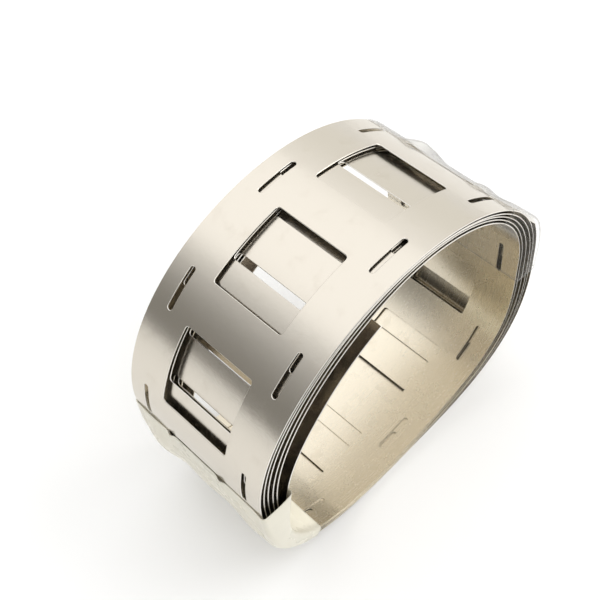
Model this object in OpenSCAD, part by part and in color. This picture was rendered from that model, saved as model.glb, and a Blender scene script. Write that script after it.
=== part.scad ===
// Ladder-shaped nickel strip for joining round battery cells two abreast, wound into a loose
// roll. The roll stands on its own flattened underside and two bands of clear tape hold its
// turns. Lengths are in millimetres. The axis of the roll lies along Y and the floor is Z = 0.

/* [Strip] */
// Width of the strip
strip_w = 27; // [24:0.5:40]
// Thickness of the strip
strip_t = 0.15; // [0.1:0.01:0.18]
// Spacing of the cells, along the strip and across it
cell_pitch = 20.25; // [18:0.05:22]
// Length of each window, along the strip
window_l = 13.3; // [8:0.1:16]
// Width of each window, across the strip
window_w = 12.8; // [6:0.1:16]
// Length of each welding slot, over its round ends
slot_l = 6.9; // [3:0.1:10]
// Width of each welding slot
slot_w = 0.9; // [0.5:0.1:1.5]
// Least plain length left at each cut end of the strip
plain_end = 1.5; // [1:0.5:5]

/* [Roll] */
// Width of the roll
roll_w = 59.8; // [50:0.2:80]
// Height of the roll
roll_h = 52; // [45:1:70]
// Squareness of the lower half, where 2 is a plain oval
underside_squareness = 3; // [2:0.1:4]
// Number of whole turns
whole_turns = 5; // [3:1:7]
// Direction of the outer end, up from the right-hand side
outer_end_angle = 14; // [0:1:30]
// Direction of the free inner end
inner_end_angle = 104; // [80:1:140]
// Direction of one pair of slots on the outer turn
slot_angle = 88.5; // [70:0.5:110]
// Mean step from one turn to the next
turn_step = 0.695; // [0.665:0.005:1]
// Swing of that step, twice in each round
step_swing = 0.28; // [0:0.02:0.3]
// Direction in which that swing is widest
step_swing_angle = 158; // [120:1:170]
// Widening of the step on one side of the roll
step_lean = 0.12; // [0:0.02:0.14]
// Direction of that side
step_lean_angle = 60; // [-45:1:75]
// Part by which that step shrinks with each turn
step_closing = 0.057; // [0:0.001:0.06]
// Drop of the free inner end from the turn around it
inner_end_drop = 3.7; // [0:0.1:6]
// Length of the free inner end, as a part of a turn
free_end = 0.3; // [0.22:0.01:0.36]

/* [Tape] */
// Width of each band of tape
tape_w = 24; // [12:1:26]
// Thickness of the tape
tape_t = 0.06; // [0.04:0.01:0.12]
// Clearance between the tape and the turns it holds
tape_gap = 0.08; // [0.06:0.01:0.2]
// Direction of the middle of the left-hand band
left_tape_angle = 203; // [190:1:215]
// Direction of the middle of the right-hand band
right_tape_angle = 14; // [5:1:20]

/* [Hidden] */
$fn = 48;
// Angle between the points of the wound path
path_step = 5;
// Reach of a cutter beyond each face of the strip
cut_margin = 0.03;
// Short reach along the path for finding its normal
probe = 0.002;

// Turns from the outer end of the strip to its inner end
turns = whole_turns + (outer_end_angle - inner_end_angle + 360) / 360;
// Part of a turn by which the path runs on past the inner end
run_on = 0.15;
// Part of a turn over which the inner end comes away
release = 0.2;
half_thick = strip_t / 2;
// Centreline half width and half height of the squared oval that the path is wound in from
half_w = (roll_w - strip_t + inset(turn_at(180)) + inset(turn_at(0))) / 2;
half_h = (roll_h - strip_t + inset(turn_at(90)) + inset(turn_at(270))) / 2;
centre = [(inset(turn_at(0)) - inset(turn_at(180))) / 2, half_thick + half_h - inset(turn_at(270))];

last = ceil(turns * 360 / path_step);
// The path runs on past the inner end, for a window that is cut through there
path_turns = concat([for (i = [0:last - 1]) i * path_step / 360], [turns, turns + run_on]);
path = [for (t = path_turns) spot(t)];
normals = [for (t = path_turns) normal(t)];
// Length along the strip from its outer end to each point of the path
run = [for (i = 0, s = 0; i <= last + 1; s = s + norm(path[min(i + 1, last + 1)] - path[i]), i = i + 1) s];
strip_l = run[last];
spot_x = [for (i = [0:last + 1]) [run[i], path[i].x]];
spot_z = [for (i = [0:last + 1]) [run[i], path[i].y]];
normal_x = [for (i = [0:last + 1]) [run[i], normals[i].x]];
normal_z = [for (i = [0:last + 1]) [run[i], normals[i].y]];
first_slot = lookup(turn_at(slot_angle), [for (i = [0:last + 1]) [path_turns[i], run[i]]]);
slot_spots = spaced(first_slot, slot_l, -plain_end);
window_spots = spaced(first_slot + cell_pitch / 2, window_l, window_l - plain_end);
slot_straight = slot_l - slot_w;

// Direction from the middle of the roll after so many turns in from the outer end
function heading(t) = outer_end_angle - 360 * t;

// Turns from the outer end to a direction on the outermost turn
function turn_at(a) = (outer_end_angle - a + (a > outer_end_angle ? 360 : 0)) / 360;

// Step from turn to turn in one direction
function step_at(a) = turn_step + step_swing * cos(2 * (a - step_swing_angle))
    + step_lean * cos(a - step_lean_angle);

// Share of its drop that the inner end has reached
function released(t) = (1 - cos(180 * min(1, max(0, (t - turns + free_end) / release)))) / 2;

// Depth of the path inside the squared oval
function inset(t) = step_at(heading(t)) * (t - step_closing * t * t / 2) + inner_end_drop * released(t);

// Distance of the squared oval from its middle
function oval(a) = let (n = sin(a) < 0 ? underside_squareness : 2)
    pow(pow(abs(cos(a)) / half_w, n) + pow(abs(sin(a)) / half_h, n), -1 / n);

// Point of the wound path, across and up
function spot(t) = let (a = heading(t))
    centre + (oval(a) - inset(t)) * [cos(a), sin(a)];

// Outward normal of the wound path
function normal(t) = let (d = spot(t - probe) - spot(t + probe))
    [d.y, -d.x] / norm(d);

// Places one pitch apart that leave the outer end whole and run so far past the inner end
function spaced(s, l, past) = [for (k = [-ceil(strip_l / cell_pitch):ceil(strip_l / cell_pitch)])
    if (s + k * cell_pitch - l / 2 > plain_end && s + k * cell_pitch + l / 2 < strip_l + past)
        s + k * cell_pitch];

// Point at a length along the strip and a height off its middle plane
function along(s, d) = [lookup(s, spot_x) + d * lookup(s, normal_x),
    lookup(s, spot_z) + d * lookup(s, normal_z)];

// Closed outline of a stretch of the strip, so far each way off its middle plane
function band(s1, s2, d) = let (stops = concat([s1], [for (s = run) if (s > s1 && s < s2) s], [s2]))
    concat([for (s = stops) along(s, d)], [for (i = [len(stops) - 1:-1:0]) along(stops[i], -d)]);

// Closed outline round all the turns, at a list of places on the outer one
function bundle(places, d) = let (inner = floor(turns - max(places)))
    concat([for (t = places) spot(t) + d * normal(t)],
        [for (i = [len(places) - 1:-1:0]) spot(inner + places[i]) - d * normal(inner + places[i])]);

module across(w) {
    rotate([90, 0, 0])
        linear_extrude(height = w, center = true)
            children();
}

// Plug with round ends that stands through the strip, kept to the sheet it passes through
module slot(s) {
    intersection() {
        across(2 * slot_w)
            polygon(band(s - slot_l / 2 - slot_w, s + slot_l / 2 + slot_w, half_thick + cut_margin));
        translate([along(s, 0).x, 0, along(s, 0).y])
            rotate([0, atan2(lookup(s, normal_x), lookup(s, normal_z)), 0]) {
                cube([slot_straight, slot_w, slot_l], center = true);
                for (end = [-1, 1])
                    translate([end * slot_straight / 2, 0, 0])
                        cylinder(d = slot_w, h = slot_l, center = true);
            }
    }
}

// One length of strip, wound inwards clockwise from its outer end on the right
module nickel_strip() {
    color([0.78, 0.76, 0.71])
        difference() {
            across(strip_w)
                polygon(band(0, strip_l, half_thick));
            for (s = window_spots)
                across(window_w)
                    polygon(band(s - window_l / 2, s + window_l / 2, half_thick + cut_margin));
            for (s = slot_spots)
                for (side = [-1, 1])
                    translate([0, side * cell_pitch / 2, 0])
                        slot(s);
        }
}

// Thin sleeve of tape round the whole stack of turns
module tape(a) {
    middle = (outer_end_angle - a + (a > outer_end_angle + 90 ? 360 : 0)) / 360;
    half_turn = tape_w / 2 / norm(spot(middle) - centre) / (2 * PI);
    held = half_thick + tape_gap;
    steps = [ceil((middle - half_turn) * 360 / path_step):floor((middle + half_turn) * 360 / path_step)];
    bends = [for (i = steps) i * path_step / 360];
    covered = concat([middle - half_turn], bends, [middle + half_turn]);
    open_ends = concat([middle - 1.2 * half_turn], bends, [middle + 1.2 * half_turn]);
    difference() {
        across(strip_w + 2 * (tape_gap + tape_t))
            polygon(bundle(covered, held + tape_t));
        across(strip_w + 2 * tape_gap)
            polygon(bundle(open_ends, held));
    }
}

module tape_left() {
    color([0.92, 0.89, 0.78])
        tape(left_tape_angle);
}

module tape_right() {
    color([0.92, 0.92, 0.88])
        tape(right_tape_angle);
}

nickel_strip();
tape_left();
tape_right();
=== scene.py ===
import math

import bpy
import numpy as np
from mathutils import Euler, Matrix, Vector


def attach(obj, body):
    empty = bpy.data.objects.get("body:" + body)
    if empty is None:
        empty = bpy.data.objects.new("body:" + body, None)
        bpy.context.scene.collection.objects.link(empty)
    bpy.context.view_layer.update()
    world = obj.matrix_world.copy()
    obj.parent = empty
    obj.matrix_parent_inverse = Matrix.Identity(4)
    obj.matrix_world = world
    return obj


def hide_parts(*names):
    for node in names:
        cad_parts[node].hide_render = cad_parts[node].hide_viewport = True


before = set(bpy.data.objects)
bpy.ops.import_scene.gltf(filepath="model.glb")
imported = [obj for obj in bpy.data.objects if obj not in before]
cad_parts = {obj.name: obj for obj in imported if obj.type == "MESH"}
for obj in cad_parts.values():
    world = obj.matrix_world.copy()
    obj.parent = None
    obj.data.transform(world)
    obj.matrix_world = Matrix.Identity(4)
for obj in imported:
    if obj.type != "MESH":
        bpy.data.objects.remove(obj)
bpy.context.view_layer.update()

# The nickel strip: one length of thin rolled nickel sheet, stamped into a ladder of windows and bars
# with a pair of welding slots in each bar. It is wound by hand into a loose roll that is wider than it
# is high and flattened where it stands; the inner end springs away from the turns.
MM = 0.001
strip_width, strip_thick = 27.0, 0.15
cell_pitch, bar_width, slot_width = 20.25, 6.95, 0.9
slot_from_middle, window_half, window_corner = cell_pitch / 2, 6.4, 0.5
plain_end = 1.5
roll_width, roll_height, underside_squareness = 59.8, 52.0, 3.0
turns, outer_end, crown_slot = 5.75, 14.0, 88.5
turn_step, step_closing = 0.695, 0.057
step_swing, swing_way = 0.28, 158.0
step_lean, lean_way = 0.12, 60.0
inner_end_drop, free_end, release = 3.7, 0.3, 0.2


def inset(turn):
    """Distance in mm by which the strip lies inside the outer oval after so many turns: a step for each
    turn, which swings and leans round the roll and shrinks inwards, and the drop of the sprung end."""
    way = np.radians(outer_end - 360 * turn)
    swing = step_swing * np.cos(2 * (way - math.radians(swing_way)))
    lean = step_lean * np.cos(way - math.radians(lean_way))
    sprung = (1 - np.cos(np.pi * np.clip((turn - turns + free_end) / release, 0, 1))) / 2
    return (turn_step + swing + lean) * (turn - step_closing / 2 * turn**2) + inner_end_drop * sprung


def inset_facing(way):
    """Inset of the outer turn where it faces a direction in degrees."""
    return inset(((outer_end - way) % 360) / 360)


half_width = (roll_width - strip_thick + inset_facing(180) + inset_facing(0)) / 2
half_height = (roll_height - strip_thick + inset_facing(90) + inset_facing(270)) / 2
middle_x = (inset_facing(0) - inset_facing(180)) / 2
middle_z = strip_thick / 2 + half_height - inset_facing(270)


def wound(turn):
    """Middle of the strip's thickness, x and z in mm: an oval, squarer below its middle than above it,
    less the inset, run clockwise inwards from the outer end."""
    way = np.radians(outer_end - 360 * turn)
    across, up = np.cos(way), np.sin(way)
    power = np.where(up < 0, underside_squareness, 2.0)
    reach = ((abs(across) / half_width) ** power + (abs(up) / half_height) ** power) ** (-1 / power)
    reach = reach - inset(turn)
    return np.stack([middle_x + reach * across, middle_z + reach * up], axis=-1)


def outward(turn, probe=2e-4):
    """Unit normal of the strip on its outer side, square to the line between two points near it."""
    ahead = wound(turn + probe) - wound(turn - probe)
    ahead = ahead / np.linalg.norm(ahead, axis=-1, keepdims=True)
    return np.stack([-ahead[..., 1], ahead[..., 0]], axis=-1)


def new_mesh(name, points, quads, tris, uv, finish=0):
    """Object with smooth faces from points in mm and a UV map in mm. The finish numbers the material of
    each face, triangles first."""
    mesh = bpy.data.meshes.new(name)
    corners = np.concatenate([tris.ravel(), quads.ravel()])
    starts = np.concatenate([np.arange(len(tris)) * 3, tris.size + np.arange(len(quads)) * 4])
    mesh.vertices.add(len(points))
    mesh.loops.add(len(corners))
    mesh.polygons.add(len(starts))
    mesh.vertices.foreach_set("co", (points * MM).astype(np.float32).ravel())
    mesh.loops.foreach_set("vertex_index", corners.astype(np.int32))
    mesh.polygons.foreach_set("loop_start", starts.astype(np.int32))
    mesh.polygons.foreach_set("material_index", np.zeros(len(starts), np.int32) + finish)
    mesh.polygons.foreach_set("use_smooth", np.ones(len(starts), bool))
    mesh.update(calc_edges=True)
    layer = mesh.uv_layers.new(name="flat")
    layer.data.foreach_set("uv", (uv[corners] * MM).astype(np.float32).ravel())
    piece = bpy.data.objects.new(name, mesh)
    bpy.context.scene.collection.objects.link(piece)
    return piece


# Run of the strip from its outer end, in step with the turns, and the place of one pair of slots.
path_points = 24001
turn_table = np.linspace(0, turns, path_points)
run_steps = np.linalg.norm(np.diff(wound(turn_table), axis=0), axis=1)
run_table = np.concatenate([[0], np.cumsum(run_steps)])
strip_length = run_table[-1]
first_slot = np.interp(((outer_end - crown_slot) % 360) / 360, turn_table, run_table)

# Lines of a grid over the flat sheet, in mm from the middle of a bar and from the middle of the strip.
# They follow the edges of the slots, the windows and their round corners, with even steps between.
half_bar, half_slot, least_step = bar_width / 2, slot_width / 2, 0.05
off_bars = np.array([0, 1, 2, half_bar - half_slot, half_bar, half_bar + window_corner, 5, 6, 7, 8, 9])
off_bars = np.concatenate([-off_bars[:0:-1], off_bars, [cell_pitch / 2]])
cells = np.arange(-int(first_slot // cell_pitch) - 1, int(strip_length // cell_pitch) + 1)
along = (first_slot + cells[:, None] * cell_pitch + off_bars).ravel()
along = along[(along > least_step) & (along < strip_length - least_step)]
along = np.concatenate([[0], along, [strip_length]])
side = np.array(
    [0, 1.6, 3.2, 4.8, window_half - window_corner, window_half, 7.5, 8.6]
    + [slot_from_middle - half_slot, slot_from_middle, slot_from_middle + half_slot]
    + [11.5, 12.5, strip_width / 2]
)
side = np.concatenate([-side[:0:-1], side])

# Which cells of the grid are open. Slots stay clear of the cut ends; the inner end cuts through a window.
between = (along[1:] + along[:-1]) / 2
bar_middle = first_slot + np.round((between - first_slot) / cell_pitch) * cell_pitch
off_bar = abs(between - bar_middle)
whole_bar = (bar_middle - half_bar > plain_end) & (bar_middle + half_bar < strip_length - plain_end)
in_slot = (off_bar < half_bar) & whole_bar
window_start = first_slot + np.floor((between - first_slot) / cell_pitch) * cell_pitch + half_bar
window_fits = (window_start > plain_end) & (window_start < strip_length - plain_end)
in_window = (off_bar > half_bar) & window_fits
off_middle = abs(side[1:] + side[:-1]) / 2
on_slot_row = abs(off_middle - slot_from_middle) < half_slot
on_window_row = off_middle < window_half
hole = (in_slot[:, None] & on_slot_row) | (in_window[:, None] & on_window_row)

flat = np.stack(np.meshgrid(along, side, indexing="ij"), axis=-1).reshape(-1, 2)
spot = np.arange(len(flat)).reshape(len(along), len(side))
quads = np.stack([spot[:-1, :-1], spot[1:, :-1], spot[1:, 1:], spot[:-1, 1:]], axis=-1)[~hole]


def rounded_corners(open_here, level_at, toward):
    """Fans of triangles that round the corners of a row of holes: each joins a sharp corner of the grid
    to the points of a quarter circle that touches both edges. Gives the sharp corners, the points where
    the circles touch the long and the short edges, and the places of the points between."""
    change = np.diff(np.concatenate([[0], open_here.astype(int), [0]]))
    starts, ends = np.flatnonzero(change == 1), np.flatnonzero(change == -1)
    ends = ends[ends < len(along) - 1]
    corner = np.concatenate([starts, ends])
    inside = np.concatenate([starts + 1, ends - 1])
    way = np.sign(inside - corner)[:, None]
    row = int(np.argmin(abs(side - level_at)))
    bend = np.radians([22.5, 45.0, 67.5])
    radius = abs(along[inside] - along[corner])[:, None]
    arc_along = along[inside][:, None] - way * radius * np.sin(bend)
    arc_side = side[row + toward] - toward * radius * np.cos(bend)
    arc = np.stack([arc_along, arc_side], axis=-1)
    return spot[corner, row], spot[inside, row], spot[corner, row + toward], arc


fans = [rounded_corners(in_window, edge * window_half, -edge) for edge in (-1, 1)]
fans += [
    rounded_corners(in_slot, edge * (slot_from_middle + far * half_slot), -edge * far)
    for edge in (-1, 1)
    for far in (-1, 1)
]
tris = []
for sharp, on_long, on_short, arc in fans:
    own = len(flat) + np.arange(arc.shape[0] * arc.shape[1]).reshape(arc.shape[:2])
    flat = np.concatenate([flat, arc.reshape(-1, 2)])
    chain = np.concatenate([on_long[:, None], own, on_short[:, None]], axis=1)
    hub = np.repeat(sharp[:, None], chain.shape[1] - 1, axis=1)
    tris.append(np.stack([hub, chain[:, :-1], chain[:, 1:]], axis=-1).reshape(-1, 3))
tris = np.concatenate(tris)
one, two = flat[tris[:, 1]] - flat[tris[:, 0]], flat[tris[:, 2]] - flat[tris[:, 0]]
turned = one[:, 0] * two[:, 1] - one[:, 1] * two[:, 0] < 0
tris[turned] = tris[turned][:, ::-1]

used = np.unique(np.concatenate([quads.ravel(), tris.ravel()]))
fresh = np.full(len(flat), -1)
fresh[used] = np.arange(len(used))
flat, quads, tris = flat[used], fresh[quads], fresh[tris]

wander, wanders_per_turn, wander_start = 0.16, 2.3 / 2.9, 0.7
wave, waves_per_turn = 0.02, 6.3


def on_strip(place, height):
    """Points of the strip at places on the flat sheet and a height off the middle of its thickness. Turns
    wound by hand don't lie edge to edge, so slow sine waves move the strip sideways and in and out."""
    turn = np.interp(place[:, 0], run_table, turn_table)
    round_roll, grown = turn * 2 * math.pi, np.minimum(turn, 1)
    sideways = wander * np.sin(wanders_per_turn * round_roll + wander_start) * grown
    in_out = wave * np.sin(waves_per_turn * round_roll) * grown
    at = wound(turn) + outward(turn) * (in_out + height)[:, None]
    return np.stack([at[:, 0], place[:, 1] + sideways, at[:, 1]], axis=-1)


count = len(flat)
sides = np.concatenate(
    [np.stack([quads[:, k], quads[:, (k + 1) % 4]], axis=-1) for k in range(4)]
    + [np.stack([tris[:, k], tris[:, (k + 1) % 3]], axis=-1) for k in range(3)]
)
rim = sides[~np.isin(sides[:, 0] * count + sides[:, 1], sides[:, 1] * count + sides[:, 0])]

# The punch draws the outer face down along every cut, so each cut edge has a narrow slope above its wall.
drawn_down = 0.06
rim_run = flat[rim[:, 1]] - flat[rim[:, 0]]
off_hole = np.stack([-rim_run[:, 1], rim_run[:, 0]], axis=-1)
off_hole = off_hole / np.linalg.norm(rim_run, axis=1, keepdims=True)
back = np.zeros_like(flat)
np.add.at(back, rim.ravel(), np.repeat(off_hole, 2, axis=0))
on_rim = np.unique(rim)
back[on_rim] *= drawn_down / np.linalg.norm(back[on_rim], axis=1, keepdims=True)
lip = np.zeros(count, int)
lip[on_rim] = 2 * count + np.arange(len(on_rim))
slopes = np.stack([rim[:, 1], rim[:, 0], lip[rim[:, 0]], lip[rim[:, 1]]], axis=-1)
cut_walls = np.stack([lip[rim[:, 1]], lip[rim[:, 0]], rim[:, 0] + count, rim[:, 1] + count], axis=-1)
points = np.concatenate(
    [
        on_strip(flat + back, strip_thick / 2),
        on_strip(flat, -strip_thick / 2),
        on_strip(flat[on_rim], strip_thick / 2 - drawn_down),
    ]
)
bright_face, matt_face, cut_edge = 0, 1, 2
strip = new_mesh(
    "nickel_strip_wound",
    points,
    np.concatenate([quads, quads[:, ::-1] + count, slopes, cut_walls]),
    np.concatenate([tris, tris[:, ::-1] + count]),
    np.concatenate([flat + back, flat, flat[on_rim]]),
    np.repeat(
        [bright_face, matt_face, bright_face, matt_face, cut_edge],
        [len(tris), len(tris), len(quads), len(quads), len(slopes) + len(cut_walls)],
    ).astype(np.int32),
)

# The edges along every cut stay crisp in the smooth shading.
ends = np.empty(len(strip.data.edges) * 2, np.int32)
strip.data.edges.foreach_get("vertices", ends)
ends = np.sort(ends.reshape(-1, 2).astype(np.int64), axis=1)
cut = np.sort(np.concatenate([rim, rim + count, lip[rim]]), axis=1)
crisp = np.isin(ends[:, 0] * len(points) + ends[:, 1], cut[:, 0] * len(points) + cut[:, 1])
strip.data.attributes.new("sharp_edge", "BOOLEAN", "EDGE").data.foreach_set("value", crisp)


class Socket:
    """A shader socket that adds, subtracts and multiplies as a number does, and can add any node to its
    tree."""

    def __init__(self, tree, out=None):
        self.tree, self.out = tree, out

    def node(self, kind, output=0, settings=(), **inputs):
        """Adds a node of a type, sets it, fills its sockets by name or number, gives one output."""
        made = self.tree.nodes.new(kind)
        for key, value in dict(settings).items():
            setattr(made, key, value)
        for key, value in inputs.items():
            end = made.inputs[int(key[1:]) if key[:1] == "_" else key.replace("_", " ")]
            if isinstance(value, Socket):
                self.tree.links.new(value.out, end)
            else:
                end.default_value = value
        return Socket(self.tree, made.outputs[output]) if len(made.outputs) else None

    def maths(self, how, other, swap=False):
        """Math node on this socket and another socket or number, which comes first in a swap."""
        first, second = (other, self) if swap else (self, other)
        return self.node("ShaderNodeMath", 0, {"operation": how}, _0=first, _1=second)

    def __add__(self, other):
        return self.maths("ADD", other)

    def __radd__(self, other):
        return self.maths("ADD", other, True)

    def __sub__(self, other):
        return self.maths("SUBTRACT", other)

    def __rsub__(self, other):
        return self.maths("SUBTRACT", other, True)

    def __mul__(self, other):
        return self.maths("MULTIPLY", other)

    def __rmul__(self, other):
        return self.maths("MULTIPLY", other, True)

    def ramp(self, low, high):
        """0 below low, 1 above high, smooth between."""
        smooth = {"interpolation_type": "SMOOTHSTEP"}
        return self.node("ShaderNodeMapRange", 0, smooth, _0=self, _1=low, _2=high)

    def blend(self, first, second):
        """Colour that goes from the first to the second as this socket goes from 0 to 1."""
        return self.node("ShaderNodeMix", 2, {"data_type": "RGBA"}, _0=self, _6=first, _7=second)


def new_material(piece, name):
    """Adds a material in the piece's next slot, and gives its tree and the piece's UV map."""
    made = bpy.data.materials.new(name)
    made.use_nodes = True
    made.node_tree.nodes.clear()
    piece.data.materials.append(made)
    tree = Socket(made.node_tree)
    return tree, tree.node("ShaderNodeUVMap", 0, {"uv_map": "flat"})


# Rolled nickel is a warm white metal with fine lines along the strip and faint stains from handling. The
# outer face is bright rolled and the inner one more matt; the inner face is also coloured lighter and
# yellower, painted light for the inside of the roll. On the last stretch of the free inner end the outer
# face is coloured dark, a painted shade of the deep gap under the turns. The rolled lines are given in
# waves to a metre, along the strip and across it.
# From here to the free inner end the outer face is painted dark: painted shade of the deep gap under the
# turns.
painted_shade_from, painted_shade_fully = strip_length - 54.0, strip_length - 40.0
rolled_lines = (40, 9000, 1)
for finish, smooth, unevenness, clean, stained, inner_end_painted_shade in (
    (
        "nickel_bright",
        0.17,
        0.35,
        (0.665, 0.62, 0.545, 1),
        (0.64, 0.592, 0.514, 1),
        # Painted shade on the free inner end.
        (0.32, 0.29, 0.26, 1),
    ),
    (
        "nickel_matt_painted_light",
        0.22,
        0.03,
        # Lighter and yellower than the bright face: painted light for the inside of the roll.
        (0.78, 0.715, 0.59, 1),
        (0.75, 0.68, 0.555, 1),
        (0.75, 0.68, 0.56, 1),
    ),
):
    tree, uv = new_material(strip, finish)
    stretched = tree.node("ShaderNodeVectorMath", 0, {"operation": "MULTIPLY"}, _0=uv, _1=rolled_lines)
    rolled = tree.node("ShaderNodeTexNoise", 0, Vector=stretched, Scale=1.0, Detail=4.0)
    blotch = tree.node("ShaderNodeTexNoise", 0, Vector=uv, Scale=260.0, Detail=5.0, Roughness=0.6)
    grain = tree.node("ShaderNodeTexNoise", 0, Vector=uv, Scale=2600.0, Detail=2.0)
    stain = blotch.ramp(0.52, 0.75)
    run = tree.node("ShaderNodeSeparateXYZ", 0, Vector=uv)
    # Mask of the painted shade on the free inner end.
    painted_shade_on_inner_end = run.ramp(painted_shade_from * MM, painted_shade_fully * MM)
    relief = rolled + grain * 0.7 + blotch * 6.0
    metal = tree.node(
        "ShaderNodeBsdfPrincipled",
        Base_Color=painted_shade_on_inner_end.blend(stain.blend(clean, stained), inner_end_painted_shade),
        Metallic=1.0,
        Roughness=rolled * 0.06 + stain * 0.06 + grain * 0.03 + smooth,
        Normal=tree.node("ShaderNodeBump", Height=relief, Strength=unevenness, Distance=0.01 * MM),
    )
    tree.node("ShaderNodeOutputMaterial", Surface=metal)

# Its stamped edges are a little coarser than the rolled faces, and coloured lighter than them: a painted
# highlight along every cut.
tree, uv = new_material(strip, "nickel_cut_edge_painted_highlight")
sheared = tree.node("ShaderNodeTexNoise", 0, Vector=uv, Scale=3000.0, Detail=3.0)
metal = tree.node(
    "ShaderNodeBsdfPrincipled",
    # Lighter than the faces: painted highlight on the cut edges.
    Base_Color=sheared.blend((0.73, 0.70, 0.64, 1), (0.83, 0.80, 0.75, 1)),
    Metallic=1.0,
    Roughness=sheared * 0.2 + 0.25,
)
tree.node("ShaderNodeOutputMaterial", Surface=metal)
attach(strip, "root")
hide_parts("nickel_strip")

# The left band: clear adhesive tape, yellowed a little, wrapped once round the whole stack of turns.
# It is pressed down by hand, so it stands off the edges in pillows and small folds.
tape_width, film_thick, film_corner = 24.0, 0.06, 0.35
outer_gap, inner_gap, side_gap = 0.055, 0.10, 0.3
held_turns, drop_turns = 5, 0.03
crinkle_waves, crinkles_over_width, crinkles_round, whole_wave = 9, 9.0, 1.1, 6.28


def wrapped_band(name, from_turn, to_turn, bumps, crinkle, seed):
    """Closed loop of film round a stack of turns. One parameter runs over the width of the tape, the other
    round the loop: outer face, near edges, inner face, far edges, with rounded corners. Past the strip's
    outer end the outer face drops to the next turn. A bump gives its place over the width and round the
    loop, its height, its two widths and its slant, and lifts the film by its height times two bell curves.
    Crinkles are a few crossing waves that fade out at the tape's own edges."""
    over_width = np.linspace(0, 1, 65)
    turn = from_turn + (to_turn - from_turn) * over_width
    on_strip_end = np.clip(1 + turn / drop_turns, 0, 1)[:, None]
    on_strip_end = on_strip_end**2 * (3 - 2 * on_strip_end)
    outer = wound(turn) * on_strip_end + wound(turn + 1) * (1 - on_strip_end)
    outer = outer + outward(turn) * (strip_thick / 2 + outer_gap)
    inner = wound(turn + held_turns) - outward(turn + held_turns) * (strip_thick / 2 + inner_gap)
    depth = np.linalg.norm(inner - outer, axis=-1, keepdims=True)
    inwards = (inner - outer) / depth

    reach = strip_width / 2 + side_gap - film_corner
    face = np.linspace(0, 1, 72, endpoint=False)
    edge = np.linspace(0, 1, 24, endpoint=False)
    bend = np.linspace(0, 1, 7, endpoint=False)
    quarter = math.pi / 2
    flank = np.concatenate([0 * bend, edge, 1 + 0 * bend])
    lean = np.concatenate([0 * face, quarter * bend, quarter + 0 * edge, quarter + quarter * bend])
    side_at = np.concatenate([reach * (1 - 2 * face), -reach + 0 * flank])
    depth_at = np.concatenate([0 * face, flank])
    lean = np.concatenate([lean, lean + math.pi])
    side_at = np.concatenate([side_at, -side_at])
    depth_at = np.concatenate([depth_at, 1 - depth_at])

    def round_stack(deep, lift):
        """Sideways place and depth of the loop round a stack so deep: a box whose corners are arcs of
        the corner's radius and the lift together."""
        across = side_at - (film_corner + lift) * np.sin(lean)
        down = film_corner + depth_at * (deep - 2 * film_corner) - (film_corner + lift) * np.cos(lean)
        return across, down

    across, down = round_stack(depth.mean(), 0)
    round_loop = np.concatenate([[0], np.cumsum(np.hypot(np.diff(across), np.diff(down)))])
    u, v = over_width[:, None], round_loop[None]
    lift = 0 * u * v
    for at_u, at_v, height, wide_u, wide_v, slant in bumps:
        off_v = v - at_v - slant * (u - at_u)
        lift = lift + height * np.exp(-(((u - at_u) / wide_u) ** 2) - (off_v / wide_v) ** 2)
    rng = np.random.default_rng(seed)
    for _ in range(crinkle_waves):
        pull = rng.normal(size=2) * (crinkles_over_width, crinkles_round)
        fold = 1 + np.sin(pull[0] * u + pull[1] * v + rng.uniform(0, whole_wave))
        lift = lift + crinkle / crinkle_waves * fold * 4 * u * (1 - u)

    across, down = round_stack(depth, lift)
    at = outer[:, None] + inwards[:, None] * down[..., None]
    points = np.stack([at[..., 0], across, at[..., 1]], axis=-1).reshape(-1, 3)
    grid = np.arange(lift.size).reshape(lift.shape)
    round_on = np.roll(grid, -1, axis=1)
    quads = np.stack([grid[:-1], round_on[:-1], round_on[1:], grid[1:]], axis=-1).reshape(-1, 4)
    uv = np.stack(np.broadcast_arrays(u * tape_width, v), axis=-1).reshape(-1, 2)
    band = new_mesh(name, points, quads, np.zeros((0, 3), int), uv)
    solid = band.modifiers.new("film", "SOLIDIFY")
    solid.thickness = film_thick * MM
    solid.offset = 0
    return band


left_band = wrapped_band(
    "tape_left_film",
    from_turn=0.414,
    to_turn=0.5375,
    bumps=[
        (0.62, 3.6, 1.1, 0.28, 3.4, 0.0),
        (1.0, 8.0, 0.4, 0.15, 0.5, 6.0),
        (0.55, 13.0, 0.5, 0.22, 5.0, 0.0),
        (1.0, 18.6, 0.35, 0.15, 0.6, 2.0),
        (0.58, 23.5, 0.7, 0.25, 4.0, 0.0),
        (0.8, 29.0, 0.5, 0.5, 2.4, 0.0),
    ],
    crinkle=0.05,
    seed=3,
)
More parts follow.
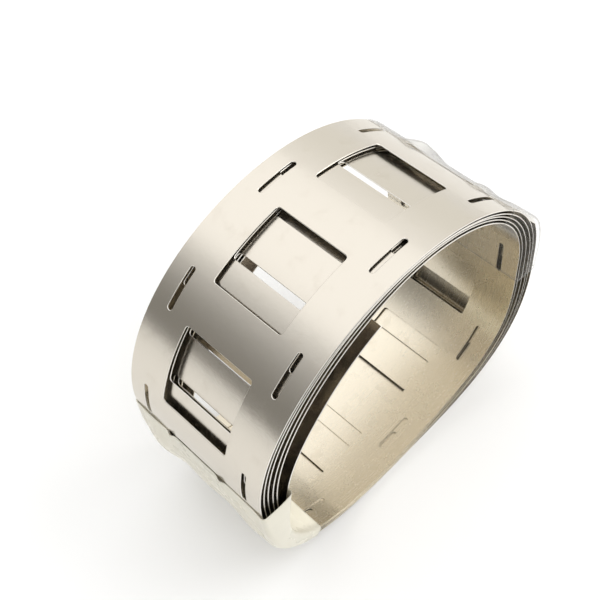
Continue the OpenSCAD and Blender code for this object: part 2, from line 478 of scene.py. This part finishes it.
# Round the loop the outer face ends at about 27 mm and the near edges at about 30 mm. The film is milkiest
# on those edges and just inside them. On the edges it is also coloured darker than on its faces, a painted
# shade.
tree, uv = new_material(left_band, "yellowed_tape")
round_band = tree.node("ShaderNodeSeparateXYZ", 1, Vector=uv)
past_edges = round_band.ramp(30.5 * MM, 32.0 * MM)
edges_milky_and_painted_shade = round_band.ramp(26.6 * MM, 27.6 * MM) * (1 - past_edges)
on_inside = past_edges * (1 - round_band.ramp(38.0 * MM, 46.0 * MM))
cloud = tree.node("ShaderNodeTexNoise", 0, Vector=uv, Scale=160.0, Detail=3.0)
facing = tree.node("ShaderNodeLayerWeight", 1, Blend=0.35)
milky = edges_milky_and_painted_shade * 0.35 + on_inside * 0.4 + facing * 0.3 + cloud * 0.1 + 0.38
film = tree.node(
    "ShaderNodeBsdfPrincipled",
    # Darker colour over the near edges: painted shade.
    Base_Color=edges_milky_and_painted_shade.blend(
        cloud.blend((0.94, 0.90, 0.75, 1), (0.96, 0.93, 0.82, 1)),
        cloud.blend((0.67, 0.64, 0.54, 1), (0.79, 0.76, 0.65, 1)),
    ),
    Roughness=cloud * 0.15 + 0.2,
    IOR=1.48,
    Alpha=milky.maths("MINIMUM", 0.97),
)
tree.node("ShaderNodeOutputMaterial", Surface=film)
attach(left_band, "root")
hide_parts("tape_left")

# The right band: the same adhesive tape, clear and hardly yellowed, wrapped once round the stack so that
# it holds the outer end of the strip down. It is hardly seen but for grey outlines where it turns away
# from view; their dark grey is painted into its colour, a painted shade.
right_band = wrapped_band(
    "tape_right_film",
    from_turn=-0.067,
    to_turn=0.065,
    bumps=[
        (0.25, 7.8, 1.05, 0.25, 1.6, 0.0),
        (0.1, 20.5, 0.4, 0.25, 1.2, 0.0),
        (0.4, 25.8, 0.5, 0.4, 2.2, 0.0),
        (0.3, 28.5, 0.35, 0.5, 1.5, 0.0),
    ],
    crinkle=0.05,
    seed=8,
)
tree, uv = new_material(right_band, "clear_tape")
cloud = tree.node("ShaderNodeTexNoise", 0, Vector=uv, Scale=200.0, Detail=3.0)
elsewhere = tree.node("ShaderNodeSeparateXYZ", 1, Vector=uv).ramp(25.5 * MM, 26.8 * MM)
outside = 1 - elsewhere
facing = tree.node("ShaderNodeLayerWeight", 1, Blend=0.25)
outline = facing * outside * 0.62 + facing.ramp(0.42, 0.70) * elsewhere * 0.7
haze = cloud.ramp(0.5, 0.8) * outside * 0.08
film = tree.node(
    "ShaderNodeBsdfPrincipled",
    # Dark grey where the film turns away from view: painted shade.
    Base_Color=facing.ramp(0.36, 0.75).blend((0.93, 0.92, 0.88, 1), (0.22, 0.21, 0.20, 1)),
    Roughness=cloud * 0.1 + 0.08,
    IOR=1.48,
    Specular_IOR_Level=0.2,
    Alpha=(outline + haze + 0.02).maths("MINIMUM", 0.9),
)
tree.node("ShaderNodeOutputMaterial", Surface=film)
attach(right_band, "root")
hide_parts("tape_right")

# The floor: one large sheet of pale matt paper, laid flat under the roll. It takes the roll's soft shadow
# and is no part of the object.
floor_half = 2000.0
corners = np.array([[-1, -1, 0], [1, -1, 0], [1, 1, 0], [-1, 1, 0]]) * floor_half
floor = new_mesh("floor", corners, np.array([[0, 1, 2, 3]]), np.zeros((0, 3), int), corners[:, :2])
tree, _ = new_material(floor, "pale_floor")
paper = tree.node("ShaderNodeBsdfPrincipled", Base_Color=(0.93, 0.93, 0.927, 1), Roughness=0.9)
tree.node("ShaderNodeOutputMaterial", Surface=paper)

# The light: a plain room, dim on the left and bright above and on the right, with a pale foot to its
# walls. One broad lamp hangs behind the roll and two stand in front of it, to the left and to the right.
world = bpy.data.worlds.new("room")
bpy.context.scene.world = world
world.use_nodes = True
world.node_tree.nodes.clear()
tree = Socket(world.node_tree)
ray = tree.node("ShaderNodeTexCoord")
height = tree.node("ShaderNodeSeparateXYZ", 2, Vector=ray)
to_right = tree.node("ShaderNodeSeparateXYZ", 0, Vector=ray)
wall = to_right.ramp(-0.85, 0.75).blend((0.28, 0.275, 0.26, 1), (1.02, 1.01, 0.97, 1))
ceiling = to_right.ramp(-0.75, -0.2).blend((0.52, 0.52, 0.52, 1), (1.24, 1.24, 1.24, 1))
wall = height.ramp(0.04, 0.08).blend((1.0, 1.0, 1.0, 1), wall)
room = height.ramp(0.30, 0.80).blend(wall, ceiling)
air = tree.node("ShaderNodeBackground", Color=room, Strength=1.0)
tree.node("ShaderNodeOutputWorld", Surface=air)

for name, place, size, power in (
    ("softbox", (0.12, 0.5, 0.95), 1.2, 0.65),
    ("right_fill", (0.75, -0.45, 0.7), 0.8, 2.8),
    ("left_fill", (-0.6, -0.7, 0.8), 1.0, 2.5),
):
    lamp_data = bpy.data.lights.new(name, "AREA")
    lamp_data.shape = "DISK"
    lamp_data.size = size
    lamp_data.energy = power
    lamp = bpy.data.objects.new(name, lamp_data)
    bpy.context.scene.collection.objects.link(lamp)
    lamp.location = place
    lamp.rotation_euler = Vector(place).to_track_quat("Z", "Y").to_euler()

# The camera: close above the front left of the roll and turned a little, as the photo was taken. Its place
# in metres and its turns in degrees were fitted to the rim, the windows and the slots.
camera_place = (-0.053079, -0.062424, 0.154388)
tilt, lean, heading = 33.7032, 5.8174, -45.1216
camera_data = bpy.data.cameras.new("camera")
camera_data.sensor_width = 36
camera_data.lens = 59.995
camera_data.clip_start = 0.005
camera = bpy.data.objects.new("camera", camera_data)
bpy.context.scene.collection.objects.link(camera)
camera_turns = Euler((math.radians(tilt), math.radians(lean), math.radians(heading)))
camera.matrix_world = Matrix.LocRotScale(Vector(camera_place), camera_turns, None)
bpy.context.scene.camera = camera
bpy.context.scene.view_settings.view_transform = "Standard"
